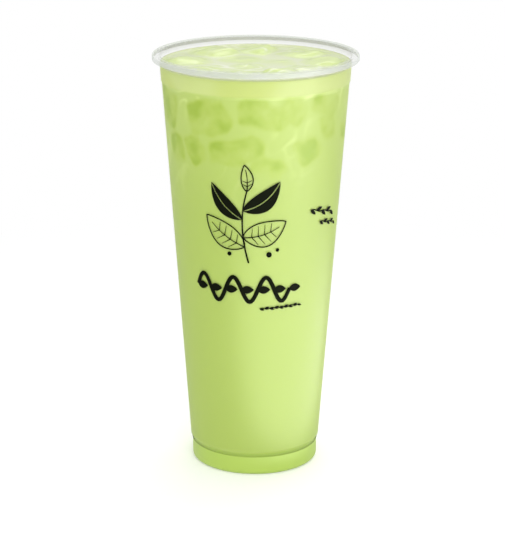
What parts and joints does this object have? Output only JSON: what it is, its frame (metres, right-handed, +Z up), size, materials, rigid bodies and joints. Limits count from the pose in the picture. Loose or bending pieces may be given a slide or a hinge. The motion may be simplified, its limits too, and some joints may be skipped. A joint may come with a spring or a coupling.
{
  "type": "cup of milk tea",
  "caption": "Tall tapered plastic cup with a flat sealing rim, stacking band and stepped foot, filled nearly to the brim with pale green iced milk tea.",
  "frame": {"origin": "centre of the standing ring under the foot, on the plane that the cup stands on", "axes": "+Z up along the cup's axis, -Y towards the printed front"},
  "size_m": [0.09, 0.09, 0.185],
  "materials": {
    "cup_plastic": "clear, faintly hazy moulded polypropylene",
    "milk_tea": "opaque milky green liquid, glossy where wet",
    "ice": "wet ice under a film of milk tea",
    "print_ink": "black screen-print ink"
  },
  "bodies": {
    "root": {"cup": "cup_plastic", "drink": "milk_tea"}
  },
  "joints": []
}
